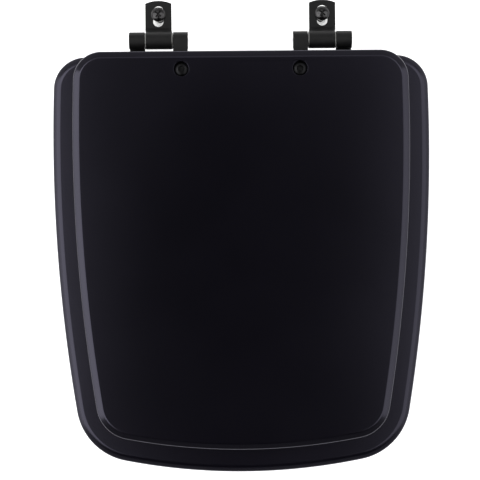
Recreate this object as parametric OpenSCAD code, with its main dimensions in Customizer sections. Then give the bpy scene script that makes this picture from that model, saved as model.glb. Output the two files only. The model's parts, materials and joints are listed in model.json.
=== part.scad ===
// Toilet seat and lid on two rolled-strip metal hinges.
// Frame: the origin is midway between the two fixing bolts, on the rim that the
// seat is bolted to. +Z is up, -Y points to the front of the seat, +X to its right.
// All sizes are in millimetres.

/* [Seat ring] */
// Overall width of the seat ring
ring_w = 352; // [290:0.5:425]
// Length of the seat ring, back edge to front edge
ring_l = 388.8; // [320:0.1:470]
// Thickness of the seat ring
ring_t = 14; // [11:0.5:18]
// Radius of the ring's long side curves
ring_side_r = 1530; // [1100:10:2000]
// Distance from the ring's back edge to its widest line
ring_widest = 82.5; // [60:0.5:110]
// Radius of the ring's front curve
ring_front_r = 565; // [450:5:700]
// Radius of the ring's two back corners
ring_back_corner = 30; // [20:1:38]
// Radius of the ring's two front corners
ring_front_corner = 56.5; // [45:0.5:68]
// Width of the ring's band at each side of the opening
side_band = 62; // [50:1:75]
// Width of the ring's band behind the opening
back_band = 72; // [68:1:86]
// Width of the ring's band in front of the opening
front_band = 60; // [50:1:72]

/* [Lid] */
// How far the lid's sides lie inside the ring's
lid_side_inset = 20; // [10:0.25:24]
// How far the lid's front edge lies behind the ring's
lid_front_inset = 23; // [14:0.5:28]
// Thickness of the lid
lid_t = 13.8; // [12:0.2:18]
// Clear space between the ring's top and the lid leaves that lie over it
leaf_clear = 0.6; // [0.4:0.1:1.6]
// Radius of the lid's long side curves
lid_side_r = 1565; // [1100:5:2000]
// Distance from the lid's back edge to its widest line
lid_widest = 78.5; // [60:0.5:110]
// Radius of the lid's front curve
lid_front_r = 572; // [450:2:700]
// Radius of the lid's two back corners
lid_back_corner = 26.5; // [18:0.5:34]
// Radius of the lid's two front corners
lid_front_corner = 34; // [26:0.5:44]

/* [Hinges] */
// Distance between the two fixing bolts
fixing_spacing = 155; // [140:1:170]
// Distance from the fixing bolts forward to the hinge axis
axis_set = 26.8; // [24:0.1:32]
// Thickness of the hinge strip
strip_t = 2.5; // [2:0.1:3]
// Width of the bracket's strip and barrel
bracket_w = 24; // [20:0.5:29]
// Outer radius of the rolled barrels
barrel_r = 8.1; // [7.6:0.1:9.8]
// How far the barrel's middle lies inboard of the fixing bolt
barrel_inset = 1.3; // [0:0.1:2]
// Width of the lid leaf and its knuckle
lid_leaf_w = 13.6; // [11:0.2:16.4]
// Width of the ring leaf and its knuckle
ring_leaf_w = 14.4; // [12:0.2:17.4]
// How far the lid bolt lies in front of the hinge axis
lid_bolt_set = 29; // [24:0.5:35]
// Distance from the lid bolt to the wood screw in front of it
lid_screw_step = 11; // [9:0.5:16]
// How far the ring leaf's first screw lies in front of the hinge axis
ring_screw_set = 28; // [23:0.5:34]
// Distance between the ring leaf's two screws
ring_screw_step = 28; // [20:1:34]
// Distance from a leaf's last screw to its end
leaf_end = 6; // [5:0.5:8]
// Clear space between a barrel's front and the lid's back edge
back_gap = 3.9; // [3:0.1:6]
// Diameter of the hinge pin
pin_d = 6; // [5:0.2:7.2]
// Thickness of the bush flange between two knuckles
flange_t = 0.8; // [0.6:0.1:1.2]

/* [Tab] */
// Width of the tab
tab_w = 24.8; // [20:0.1:30]
// Distance from the fixing bolt to the tab's rounded back end
tab_back = 13.1; // [11:0.1:16]
// Radius of the tab's back end
tab_end_r = 31; // [20:1:45]
// Length of the adjusting slot
slot_l = 19.8; // [16:0.2:20]
// Width of the adjusting slot
slot_w = 10; // [8:0.2:12]
// How far the slot's middle lies in front of the fixing bolt
slot_set = 1.6; // [0:0.1:2]
// Thickness of the gasket under the tab
gasket_t = 2; // [1:0.1:3]

/* [Fixings] */
// Diameter of the fixing bolt's plain shank
bolt_d = 6; // [5:0.2:7.2]
// Diameter of the fixing bolt's pan head
bolt_head_d = 13.7; // [12.2:0.1:15]
// Height of the fixing bolt's pan head
bolt_head_h = 4; // [3:0.1:5]
// Length of the fixing bolt under its head
bolt_l = 65; // [62:1:80]
// Length of the plain shank under the head
bolt_plain_l = 27; // [22:1:29]
// Depth from the rim to the top of the cone washer
shelf_t = 24; // [22:1:28]
// Height of the cone washer
cone_h = 10; // [8:0.5:12]
// Radius of the cone washer's base and of the steel washer
washer_r = 10.5; // [9:0.5:12]
// Height of the wing nut
nut_h = 11; // [9:0.5:13]
// Span of the wing nut's wings
nut_span = 30; // [24:1:36]
// Diameter of the lid bolt's domed head
lid_bolt_head_d = 13.1; // [10:0.1:16]
// Clear space round the domed head in its counterbore
counterbore_room = 0.55; // [0.3:0.05:1]
// Depth of the counterbore in the lid
counterbore_h = 5; // [4:0.1:6]

/* [Buffers] */
// Height of the buffers under the ring
ring_buffer_h = 9; // [8.6:0.2:12]
// Length of each buffer under the ring
ring_buffer_l = 34; // [26:1:42]
// Width of each buffer under the ring
ring_buffer_w = 14; // [12:0.5:18]
// Diameter of each buffer under the lid
lid_buffer_d = 16; // [12:0.5:18]

/* [Hidden] */
$fn = 64;

// Clearances
play = 0.3;        // between pieces that move past each other
fit = 0.05;        // radial clearance of a pin, screw or sleeve in its hole
leaf_room = 0.5;   // between a leaf and the sides of its recess in the ring
cut = 1;           // how far a cutting shape runs past what it cuts

// Heights
lid_gap = strip_t + leaf_clear;
ring_bottom = ring_buffer_h;
ring_top = ring_bottom + ring_t;
lid_bottom = ring_top + lid_gap;
lid_top = lid_bottom + lid_t;
axis_z = lid_bottom - barrel_r;
strip_low = axis_z - barrel_r;
tab_z = gasket_t;
tab_top = tab_z + strip_t;

// Places along Y
axis_y = -axis_set;
lid_back = axis_y - barrel_r - back_gap;
ring_setback = 2.9;
ring_back = lid_back - ring_setback;
ring_front = ring_back - ring_l;
lid_front = ring_front + lid_front_inset;
slot_y = -slot_set;
open_back = ring_back - back_band;
open_front = ring_front + front_band;
open_middle = ring_back - 0.48 * ring_l;   // the opening's widest line
open_half_w = ring_w / 2 - side_band;
lid_w = ring_w - 2 * lid_side_inset;

// Places along X, for the right-hand hinge
fixing_x = fixing_spacing / 2;
barrel_x = fixing_x - barrel_inset;
knuckle_gap = flange_t + 2 * play;
lid_leaf_x = barrel_x - bracket_w / 2 - knuckle_gap - lid_leaf_w / 2;
ring_leaf_x = barrel_x + bracket_w / 2 + knuckle_gap + ring_leaf_w / 2;
lid_bolt_x = lid_leaf_x - 1.2;
lid_leaf_l = lid_bolt_set + lid_screw_step + leaf_end;
ring_leaf_l = ring_screw_set + ring_screw_step + leaf_end;

// Barrels, bushes and pins
barrel_bore_r = barrel_r - strip_t;
pin_r = pin_d / 2;
bush_bore_r = pin_r + fit;
bush_r = barrel_bore_r - fit;
flange_r = barrel_r - 0.4;
pin_end_h = 0.5;                // how far the pin's staked ends stand out
seam = 0.5;                     // the slit where a rolled barrel's end meets its strip

// The crank between the tab and the barrel
fold_y = slot_y - slot_l / 2 - 1.5;
crank_run = 7.3;
crank_rise = strip_low - tab_z;
crank_mitre = strip_t / 2 * tan(atan2(crank_rise, crank_run) / 2);

// Fixing bolt, washers and nut
bolt_r = bolt_d / 2;
thread_r = bolt_r - 0.2;
bolt_seat = tab_top + play;
bolt_end = bolt_seat - bolt_l;
thread_start = bolt_seat - bolt_plain_l;
washer_bore_r = bolt_r + 0.4;
washer_t = 1.5;
cone_bottom = -shelf_t - cone_h;
nut_top = cone_bottom - washer_t;
cross_w = 1.1;                  // width of a cross recess's arms

// Lid bolt
lid_bolt_r = 3;
lid_bolt_head_h = 3.6;
lid_bolt_seat = lid_top - counterbore_h;
lid_bolt_y = axis_y - lid_bolt_set;
socket_af = 6;

// Countersunk wood screws
screw_r = 1.9;
screw_head_r = 3.8;
screw_head_h = 1.9;
ring_screw_l = 11;
lid_screw_l = 10;
buffer_screw_l = 15;
ring_screw_ys = [for (i = [0, 1]) axis_y - ring_screw_set - i * ring_screw_step];
lid_screw_y = lid_bolt_y - lid_screw_step;

// Buffers
buffer_recess_h = 4;
lid_buffer_h = lid_gap - play;
stem_r = 3;
stem_h = 7;
ring_side_x = ring_w / 2 - side_band / 2;
ring_back_buffer_y = ring_back - 0.25 * ring_l;
ring_front_buffer_x = 0.18 * ring_w;
ring_front_buffer_y = ring_front + 0.68 * front_band;
ring_front_buffer_turn = 14;
lid_side_buffer_x = (open_half_w + lid_w / 2) / 2;
lid_side_buffer_y = ring_back - 0.4 * ring_l;
lid_front_buffer_x = 0.11 * ring_w;
lid_front_buffer_y = (open_front + lid_front) / 2;

// ---- Outlines ----

// Points along an arc about c, from angle a0 to angle a1
function arc(c, r, a0, a1, n) =
  [for (i = [0:n]) c + r * [cos(a0 + (a1 - a0) * i / n), sin(a0 + (a1 - a0) * i / n)]];

function angle_from(c, p) = atan2(p.y - c.y, p.x - c.x);

// Where circles of radius ra about a and rb about b meet, on the side towards -Y
function circles_meet(a, ra, b, rb) =
  let (d = norm(b - a),
       along = (ra ^ 2 - rb ^ 2 + d ^ 2) / (2 * d),
       off = sqrt(ra ^ 2 - along ^ 2),
       u = (b - a) / d)
  a + along * u + off * [u.y, -u.x];

// The right half of a panel's outline, from the middle of its back edge round to
// the middle of its front: a straight back, a side arc and a front arc, joined by
// corner arcs that run smoothly into both neighbours
function half_outline(w, back, front, widest, side_r, front_r, back_corner, front_corner) =
  let (side = [w / 2 - side_r, back - widest],
       nose = [0, front + front_r],
       cb_y = back - back_corner,
       cb = [side.x + sqrt((side_r - back_corner) ^ 2 - (cb_y - side.y) ^ 2), cb_y],
       cf = circles_meet(side, side_r - front_corner, nose, front_r - front_corner),
       turn_b = angle_from(side, cb),
       turn_f = angle_from(side, cf),
       turn_n = angle_from(nose, cf))
  concat(
    arc(cb, back_corner, 90, turn_b, 14),
    arc(side, side_r, turn_b, turn_f, 12),
    arc(cf, front_corner, turn_f, turn_n, 14),
    arc(nose, front_r, turn_n, -90, 8));

// A symmetrical outline from its right half, without the doubled middle and joints
function whole_outline(half) =
  let (right = [for (i = [0:len(half) - 1]) if (i == 0 || norm(half[i] - half[i - 1]) > 0.01) half[i]],
       n = len(right))
  concat(right, [for (i = [n - 2:-1:0]) [-right[i].x, right[i].y]]);

lid_outline = whole_outline(half_outline(
  lid_w, lid_back, lid_front, lid_widest,
  lid_side_r, lid_front_r, lid_back_corner, lid_front_corner));

ring_outline = whole_outline(half_outline(
  ring_w, ring_back, ring_front, ring_widest,
  ring_side_r, ring_front_r, ring_back_corner, ring_front_corner));

// The opening is an egg: two half ellipses that share their widest line
opening_outline = [for (a = [0:3.75:356.25])
  [open_half_w * cos(a),
   open_middle + (sin(a) > 0 ? open_back - open_middle : open_middle - open_front) * sin(a)]];

// ---- Shapes that repeat ----

// Puts what is drawn for the right-hand side on the left as well as asked
module on_side(s) {
  mirror([s < 0 ? 1 : 0, 0, 0]) children();
}

// A bar along X about the hinge axis, from x0 to x1
module along_axis(x0, x1, r) {
  translate([x0, axis_y, axis_z]) rotate([0, 90, 0]) cylinder(h = x1 - x0, r = r);
}

// A sleeve along X about the hinge axis
module sleeve(x0, x1, r_out, r_in) {
  difference() {
    along_axis(x0, x1, r_out);
    along_axis(x0 - cut, x1 + cut, r_in);
  }
}

// A slab with two rounded ends, its length along Y, centred at the origin
module rounded_bar(l, w, h) {
  linear_extrude(h) {
    square([w, l - w], center = true);
    for (s = [-1, 1]) translate([0, s * (l - w) / 2]) circle(d = w);
  }
}

// The plan of a leaf's free end: a strip that runs forward to a rounded end
module leaf_strip(x, w, l, z) {
  corner = 4;
  translate([x, axis_y - l, z]) linear_extrude(strip_t) {
    translate([-w / 2, corner]) square([w, l - corner]);
    translate([-w / 2 + corner, 0]) square([w - 2 * corner, 2 * corner]);
    for (s = [-1, 1]) translate([s * (w / 2 - corner), corner]) circle(corner);
  }
}

// A countersunk wood screw: its head's face at z = 0, its point up
module wood_screw(l) {
  point = 3;
  difference() {
    union() {
      cylinder(h = screw_head_h, r1 = screw_head_r, r2 = screw_r);
      cylinder(h = l - point, r = screw_r);
      translate([0, 0, l - point]) cylinder(h = point, r1 = screw_r, r2 = 0.4);
    }
    cross_recess(4.4, 1.3);
  }
}

// The hole for such a screw: a countersink, then a pilot hole
module screw_hole(l) {
  translate([0, 0, -cut]) cylinder(h = cut, r = screw_head_r + fit);
  cylinder(h = screw_head_h, r1 = screw_head_r + fit, r2 = screw_r + fit);
  cylinder(h = l + play, r = screw_r + fit);
}

// A cross recess, cut upwards from z = 0
module cross_recess(span, depth) {
  translate([0, 0, -cut]) for (turn = [0, 90]) rotate(turn)
    translate([-span / 2, -cross_w / 2, 0]) cube([span, cross_w, depth + cut]);
}

// A low dome with a flat underside at z = 0
module dome(d, h) {
  r = ((d / 2) ^ 2 + h ^ 2) / (2 * h);
  intersection() {
    translate([0, 0, h - r]) sphere(r);
    cylinder(h = h, d = d);
  }
}

// Places each ring leaf's screws
module at_ring_screws() {
  for (s = [-1, 1], y = ring_screw_ys) translate([s * ring_leaf_x, y, strip_low]) children();
}

// Places each lid leaf's wood screw, its head's face on the leaf's underside
module at_lid_screws() {
  for (s = [-1, 1]) translate([s * lid_leaf_x, lid_screw_y, lid_bottom - strip_t]) children();
}

module at_ring_back_buffers() {
  for (s = [-1, 1]) translate([s * ring_side_x, ring_back_buffer_y, 0]) children();
}

module at_ring_front_buffers() {
  for (s = [-1, 1])
    translate([s * ring_front_buffer_x, ring_front_buffer_y, 0])
      rotate(90 + s * ring_front_buffer_turn) children();
}

module at_lid_side_buffers() {
  for (s = [-1, 1]) translate([s * lid_side_buffer_x, lid_side_buffer_y, lid_bottom]) children();
}

module at_lid_front_buffers() {
  for (s = [-1, 1]) translate([s * lid_front_buffer_x, lid_front_buffer_y, lid_bottom]) children();
}

// ---- Lid and what is fixed to it ----

module lid_panel() {
  color([0.07, 0.07, 0.075]) difference() {
    translate([0, 0, lid_bottom]) linear_extrude(lid_t) polygon(lid_outline);
    for (s = [-1, 1]) translate([s * lid_bolt_x, lid_bolt_y, 0]) {
      translate([0, 0, lid_bolt_seat]) cylinder(h = counterbore_h + cut, d = lid_bolt_head_d + 2 * counterbore_room);
      translate([0, 0, lid_bottom - cut]) cylinder(h = lid_t, r = lid_bolt_r + play);
    }
    at_lid_screws() screw_hole(lid_screw_l);
    at_lid_side_buffers() stem_hole();
    at_lid_front_buffers() stem_hole();
  }
}

module stem_hole() {
  translate([0, 0, -cut]) cylinder(h = stem_h + play + cut, r = stem_r + fit);
}

// A rolled knuckle with a strip that leaves its top and lies under the lid
module lid_leaf(s) {
  x0 = lid_leaf_x - lid_leaf_w / 2;
  under = lid_bottom - strip_t;
  color([0.2, 0.2, 0.21]) on_side(s) difference() {
    union() {
      along_axis(x0, x0 + lid_leaf_w, barrel_r);
      leaf_strip(lid_leaf_x, lid_leaf_w, lid_leaf_l, under);
    }
    along_axis(x0 - cut, x0 + lid_leaf_w + cut, barrel_bore_r);
    translate([x0 - cut, axis_y - barrel_r, under - seam])
      cube([lid_leaf_w + 2 * cut, barrel_r - 1, seam]);
    translate([lid_bolt_x, lid_bolt_y, under - cut]) cylinder(h = strip_t + 2 * cut, r = lid_bolt_r + fit);
    translate([lid_leaf_x, lid_screw_y, under]) screw_hole(lid_screw_l);
  }
}

module lid_leaf_bushes() {
  x0 = lid_leaf_x - lid_leaf_w / 2;
  color([0.75, 0.75, 0.74]) for (s = [-1, 1]) on_side(s)
    sleeve(x0, x0 + lid_leaf_w, bush_r, bush_bore_r);
}

module lid_bolt(s) {
  color([0.3, 0.3, 0.31]) translate([s * lid_bolt_x, lid_bolt_y, 0]) {
    translate([0, 0, lid_bolt_seat]) difference() {
      dome(lid_bolt_head_d, lid_bolt_head_h);
      translate([0, 0, 1]) cylinder(h = lid_bolt_head_h, r = socket_af / sqrt(3), $fn = 6);
    }
    translate([0, 0, lid_bottom - strip_t]) cylinder(h = lid_bolt_seat - lid_bottom + strip_t, r = lid_bolt_r);
  }
}

module lid_leaf_screws() {
  color([0.6, 0.6, 0.6]) at_lid_screws() wood_screw(lid_screw_l);
}

module lid_buffer() {
  color([0.12, 0.12, 0.12]) {
    translate([0, 0, -lid_buffer_h]) cylinder(h = lid_buffer_h, d = lid_buffer_d);
    translate([0, 0, -lid_buffer_h / 2]) cylinder(h = lid_buffer_h / 2 + stem_h, r = stem_r);
  }
}

module lid_buffers_front() {
  at_lid_front_buffers() lid_buffer();
}

module lid_buffers_side() {
  at_lid_side_buffers() lid_buffer();
}

// ---- Ring and what is fixed to it ----

module seat_ring() {
  color([0.14, 0.14, 0.16]) difference() {
    translate([0, 0, ring_bottom]) linear_extrude(ring_t) difference() {
      polygon(ring_outline);
      polygon(opening_outline);
    }
    for (s = [-1, 1]) on_side(s) ring_leaf_recess();
    at_ring_screws() screw_hole(ring_screw_l);
    at_ring_back_buffers() buffer_screw_hole();
    at_ring_front_buffers() buffer_screw_hole();
  }
}

// The recess that lets a ring leaf into the ring's underside
module ring_leaf_recess() {
  translate([ring_leaf_x - ring_leaf_w / 2 - leaf_room, axis_y - ring_leaf_l - leaf_room, ring_bottom - cut])
    cube([ring_leaf_w + 2 * leaf_room, ring_leaf_l, strip_low + strip_t - ring_bottom + cut]);
}

// A rolled knuckle with a strip that leaves its bottom and lies in the ring's recess
module ring_leaf(s) {
  x0 = ring_leaf_x - ring_leaf_w / 2;
  color([0.17, 0.17, 0.18]) on_side(s) difference() {
    union() {
      along_axis(x0, x0 + ring_leaf_w, barrel_r);
      leaf_strip(ring_leaf_x, ring_leaf_w, ring_leaf_l, strip_low);
    }
    along_axis(x0 - cut, x0 + ring_leaf_w + cut, barrel_bore_r);
    translate([x0 - cut, axis_y - barrel_r, strip_low + strip_t])
      cube([ring_leaf_w + 2 * cut, barrel_r - 1, seam]);
    for (y = ring_screw_ys) translate([ring_leaf_x, y, strip_low]) screw_hole(ring_screw_l);
  }
}

module ring_leaf_bushes() {
  x0 = ring_leaf_x - ring_leaf_w / 2;
  color([0.75, 0.75, 0.74]) for (s = [-1, 1]) on_side(s)
    sleeve(x0, x0 + ring_leaf_w, bush_r, bush_bore_r);
}

module ring_leaf_screws() {
  color([0.6, 0.6, 0.6]) at_ring_screws() wood_screw(ring_screw_l);
}

// A rubber block with round ends and a deep seat for its screw
module ring_buffer() {
  color([0.12, 0.12, 0.12]) difference() {
    rounded_bar(ring_buffer_l, ring_buffer_w, ring_buffer_h);
    translate([0, 0, -cut]) cylinder(h = buffer_recess_h + cut, r = screw_head_r + play);
    translate([0, 0, buffer_recess_h]) screw_hole(buffer_screw_l);
  }
}

module buffer_screw_hole() {
  translate([0, 0, buffer_recess_h]) cylinder(h = buffer_screw_l + play, r = screw_r + fit);
}

module ring_buffers_front() {
  at_ring_front_buffers() ring_buffer();
}

module ring_buffers_back() {
  at_ring_back_buffers() ring_buffer();
}

module ring_buffer_screws() {
  color([0.6, 0.6, 0.6]) {
    at_ring_front_buffers() translate([0, 0, buffer_recess_h]) wood_screw(buffer_screw_l);
    at_ring_back_buffers() translate([0, 0, buffer_recess_h]) wood_screw(buffer_screw_l);
  }
}

// ---- Brackets, pins and gaskets ----

// The cranked strip's side profile, in Y and Z
strip_profile = [
  [axis_y, strip_low + strip_t],
  [fold_y - crank_run + crank_mitre, strip_low + strip_t],
  [fold_y + crank_mitre, tab_top],
  [tab_back, tab_top],
  [tab_back, tab_z],
  [fold_y - crank_mitre, tab_z],
  [fold_y - crank_run - crank_mitre, strip_low],
  [axis_y, strip_low]];

// The tongue's plan: barrel's width at the front, the tab's round end at the back
module tongue_plan() {
  shoulder = fold_y - crank_run / 2;
  polygon([
    [barrel_x - bracket_w / 2, axis_y - cut],
    [barrel_x + bracket_w / 2, axis_y - cut],
    [barrel_x + bracket_w / 2, shoulder - barrel_inset],
    [fixing_x + tab_w / 2, shoulder],
    [fixing_x + tab_w / 2, fold_y],
    [fixing_x - tab_w / 2, fold_y],
    [fixing_x - tab_w / 2, shoulder],
    [barrel_x - bracket_w / 2, shoulder - barrel_inset]]);
  intersection() {
    translate([fixing_x - tab_w / 2, fold_y - cut / 10]) square([tab_w, tab_back - fold_y + cut]);
    translate([fixing_x, tab_back - tab_end_r]) circle(tab_end_r, $fn = 128);
  }
}

module slot_plan() {
  translate([fixing_x, slot_y]) {
    square([slot_w, slot_l - slot_w], center = true);
    for (e = [-1, 1]) translate([0, e * (slot_l - slot_w) / 2]) circle(d = slot_w);
  }
}

module hinge_bracket(s) {
  x0 = barrel_x - bracket_w / 2;
  color([0.2, 0.2, 0.21]) on_side(s) difference() {
    union() {
      along_axis(x0, x0 + bracket_w, barrel_r);
      intersection() {
        translate([fixing_x - tab_w, 0, 0]) rotate([90, 0, 90])
          linear_extrude(2 * tab_w) polygon(strip_profile);
        linear_extrude(axis_z) tongue_plan();
      }
    }
    along_axis(x0 - cut, x0 + bracket_w + cut, barrel_bore_r);
    translate([x0 - cut, axis_y + 1, strip_low + strip_t]) cube([bracket_w + 2 * cut, barrel_r - 1, seam]);
    translate([0, 0, tab_z - cut]) linear_extrude(strip_t + 2 * cut) slot_plan();
  }
}

// Two flanged sleeves, pushed into the barrel from its two ends
module bracket_bushes(s) {
  mid_gap = 0.4;
  color([0.75, 0.75, 0.74]) on_side(s) for (e = [-1, 1])
    translate([barrel_x, 0, 0]) mirror([e < 0 ? 1 : 0, 0, 0]) {
      sleeve(mid_gap / 2, bracket_w / 2, bush_r, bush_bore_r);
      sleeve(bracket_w / 2, bracket_w / 2 + flange_t, flange_r, bush_bore_r);
    }
}

// One headless pin through three knuckles, with a low dome at each end
module hinge_pin(s) {
  x0 = lid_leaf_x - lid_leaf_w / 2;
  x1 = ring_leaf_x + ring_leaf_w / 2;
  color([0.25, 0.25, 0.26]) on_side(s) {
    along_axis(x0, x1, pin_r);
    translate([x1, axis_y, axis_z]) rotate([0, 90, 0]) dome(pin_d, pin_end_h);
    translate([x0, axis_y, axis_z]) rotate([0, -90, 0]) dome(pin_d, pin_end_h);
  }
}

module base_gasket(s) {
  edge = 0.6;
  color([0.85, 0.85, 0.84]) on_side(s) linear_extrude(gasket_t) difference() {
    intersection() {
      translate([fixing_x - tab_w / 2 + edge, fold_y + edge])
        square([tab_w - 2 * edge, tab_back - fold_y]);
      translate([fixing_x, tab_back - tab_end_r]) circle(tab_end_r - edge, $fn = 128);
    }
    slot_plan();
  }
}

// ---- Fixings, drawn on the fixing line ----

module fixing_bolt(s) {
  chamfer = 1.2;
  color([0.25, 0.25, 0.27]) translate([s * fixing_x, 0, 0]) {
    translate([0, 0, bolt_seat]) difference() {
      union() {
        cylinder(h = 1, d = bolt_head_d);
        translate([0, 0, 1]) dome(bolt_head_d, bolt_head_h - 1);
      }
      translate([0, 0, bolt_head_h]) mirror([0, 0, 1]) cross_recess(7.4, 2.4);
    }
    translate([0, 0, thread_start]) cylinder(h = bolt_plain_l, r = bolt_r);
    translate([0, 0, bolt_end + chamfer]) cylinder(h = thread_start - bolt_end - chamfer, r = thread_r);
    translate([0, 0, bolt_end]) cylinder(h = chamfer, r1 = thread_r - chamfer, r2 = thread_r);
  }
}

// A rubber cone that centres the bolt in the rim's hole from below
module cone_washer(s) {
  foot = 2;
  color([0.85, 0.85, 0.84]) translate([s * fixing_x, 0, cone_bottom]) difference() {
    union() {
      cylinder(h = foot, r = washer_r);
      translate([0, 0, foot]) cylinder(h = cone_h - foot, r1 = washer_r, r2 = bolt_r + 2.4);
    }
    translate([0, 0, -cut]) cylinder(h = cone_h + 2 * cut, r = washer_bore_r);
  }
}

module steel_washer(s) {
  color([0.65, 0.65, 0.66]) translate([s * fixing_x, 0, nut_top]) difference() {
    cylinder(h = washer_t, r = washer_r);
    translate([0, 0, -cut]) cylinder(h = washer_t + 2 * cut, r = washer_bore_r);
  }
}

module wing_nut(s) {
  hub_r = 6;
  wing_t = 3;
  tip_r = 4;
  color([0.85, 0.85, 0.84]) translate([s * fixing_x, 0, nut_top - nut_h]) rotate(90) difference() {
    union() {
      cylinder(h = nut_h, r = hub_r);
      for (e = [-1, 1]) mirror([e < 0 ? 1 : 0, 0, 0])
        translate([0, wing_t / 2, 0]) rotate([90, 0, 0]) linear_extrude(wing_t) {
          polygon([
            [bolt_r + 1, nut_h - 1],
            [nut_span / 2 - tip_r, tip_r * 2],
            [nut_span / 2 - tip_r, 0],
            [bolt_r + 1, 1]]);
          translate([nut_span / 2 - tip_r, tip_r]) circle(tip_r);
        }
    }
    translate([0, 0, -cut]) cylinder(h = nut_h + 2 * cut, r = thread_r + fit);
  }
}

lid_panel();
seat_ring();
hinge_bracket(-1);  // hinge_bracket_left
hinge_bracket(1);  // hinge_bracket_right
lid_leaf(-1);  // lid_leaf_left
lid_leaf(1);  // lid_leaf_right
ring_leaf(-1);  // ring_leaf_left
ring_leaf(1);  // ring_leaf_right
hinge_pin(-1);  // hinge_pin_left
hinge_pin(1);  // hinge_pin_right
bracket_bushes(-1);  // bracket_bushes_left
bracket_bushes(1);  // bracket_bushes_right
lid_leaf_bushes();
ring_leaf_bushes();
lid_bolt(-1);  // lid_bolt_left
lid_bolt(1);  // lid_bolt_right
lid_leaf_screws();
ring_leaf_screws();
base_gasket(-1);  // base_gasket_left
base_gasket(1);  // base_gasket_right
fixing_bolt(-1);  // fixing_bolt_left
fixing_bolt(1);  // fixing_bolt_right
cone_washer(-1);  // cone_washer_left
cone_washer(1);  // cone_washer_right
steel_washer(-1);  // steel_washer_left
steel_washer(1);  // steel_washer_right
wing_nut(-1);  // wing_nut_left
wing_nut(1);  // wing_nut_right
ring_buffers_front();
ring_buffers_back();
ring_buffer_screws();
lid_buffers_front();
lid_buffers_side();
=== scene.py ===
# %% [markdown]
# # A toilet seat and lid on two rolled-strip hinges
# The object is a black lacquered wooden lid that lies closed on a wooden seat ring.
# Two steel hinges join them: each is a short stack of knuckles, rolled from flat strip,
# on one pin. A fixing bolt through each hinge's tab holds the seat to the bowl.
#
# Blender gets the working model first, as a fixed frame. Its pieces tell this script
# where everything is, and each new piece is made around that frame, at its real size.

# %% Load the frame
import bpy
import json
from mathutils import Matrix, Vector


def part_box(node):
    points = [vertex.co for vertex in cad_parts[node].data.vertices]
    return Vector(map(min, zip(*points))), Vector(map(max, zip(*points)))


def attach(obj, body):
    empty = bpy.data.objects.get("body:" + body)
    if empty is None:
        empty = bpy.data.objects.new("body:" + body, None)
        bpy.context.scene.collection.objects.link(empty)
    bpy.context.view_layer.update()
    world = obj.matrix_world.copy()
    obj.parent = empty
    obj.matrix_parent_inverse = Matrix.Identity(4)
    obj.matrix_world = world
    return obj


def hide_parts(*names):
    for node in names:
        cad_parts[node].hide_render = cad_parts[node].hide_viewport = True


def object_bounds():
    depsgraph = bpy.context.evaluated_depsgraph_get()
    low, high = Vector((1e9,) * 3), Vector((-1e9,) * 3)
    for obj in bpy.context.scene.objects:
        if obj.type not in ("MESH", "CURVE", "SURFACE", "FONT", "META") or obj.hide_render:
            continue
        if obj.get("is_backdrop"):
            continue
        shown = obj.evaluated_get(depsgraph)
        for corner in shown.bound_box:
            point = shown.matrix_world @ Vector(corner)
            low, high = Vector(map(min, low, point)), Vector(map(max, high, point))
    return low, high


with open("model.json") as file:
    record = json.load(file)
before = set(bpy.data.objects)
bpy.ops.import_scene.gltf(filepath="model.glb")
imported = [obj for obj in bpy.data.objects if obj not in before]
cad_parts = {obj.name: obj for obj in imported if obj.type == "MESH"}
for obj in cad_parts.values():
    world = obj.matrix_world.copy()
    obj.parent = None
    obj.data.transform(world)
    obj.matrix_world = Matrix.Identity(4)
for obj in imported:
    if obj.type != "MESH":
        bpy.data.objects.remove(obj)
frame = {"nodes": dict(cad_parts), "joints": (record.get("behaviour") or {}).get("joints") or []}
cad_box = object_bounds()
print("frame from", tuple(cad_box[0]), "to", tuple(cad_box[1]))

# %% [markdown]
# ## Helpers for working by hand in code
# A maker in Blender selects a piece, goes into edit mode, picks faces or edges, and works
# on them. These helpers do the same: one makes a piece the only one selected, one names
# what was just made, and one picks vertices, edges or faces by where they are or which
# way they face.

# %% Select and pick
import json
import math

import bmesh
import bpy
from mathutils import Vector

MM = 0.001
TOUCHING = 0.001 * MM


def clear_selection():
    """Leaves edit mode, and selects nothing."""
    if bpy.context.mode != "OBJECT":
        bpy.ops.object.mode_set(mode="OBJECT")
    bpy.ops.object.select_all(action="DESELECT")


def work_on(piece):
    """Leaves edit mode, and makes this piece the only one selected."""
    clear_selection()
    piece.select_set(True)
    bpy.context.view_layer.objects.active = piece


def edit(piece):
    """Opens a piece in edit mode."""
    work_on(piece)
    bpy.ops.object.mode_set(mode="EDIT")


def name_new(name):
    """Names the piece that was just made, and puts its place and size into its mesh."""
    piece = bpy.context.object
    piece.name = name
    piece.data.name = name
    bpy.ops.object.transform_apply(location=True, rotation=True, scale=True)
    return piece


def pick(piece, kind, test):
    """Selects, in edit mode, the vertices, edges or faces for which test is true."""
    bpy.ops.mesh.select_mode(type=kind)
    bpy.ops.mesh.select_all(action="DESELECT")
    mesh = bmesh.from_edit_mesh(piece.data)
    items = {"VERT": mesh.verts, "EDGE": mesh.edges, "FACE": mesh.faces}[kind]
    found = [item for item in items if test(item)]
    for item in found:
        item.select_set(True)
    mesh.select_flush_mode()
    bmesh.update_edit_mesh(piece.data)
    return len(found)


def is_near(vertex, places):
    """True for a vertex that is at one of these places."""
    return any((vertex.co - place).length < TOUCHING for place in places)


def is_upright(edge):
    """True for an edge that runs straight up and down."""
    a, b = (v.co for v in edge.verts)
    return abs((a - b).z) > 0.99 * (a - b).length


def is_rim(edge, z, sharper_than=0.3):
    """True for an edge that lies level at height z, where two faces meet at an angle."""
    level = all(abs(v.co.z - z) < 0.02 * MM for v in edge.verts)
    return level and len(edge.link_faces) == 2 and edge.calc_face_angle(0) > sharper_than


print("one millimetre is", MM, "metres")


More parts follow.
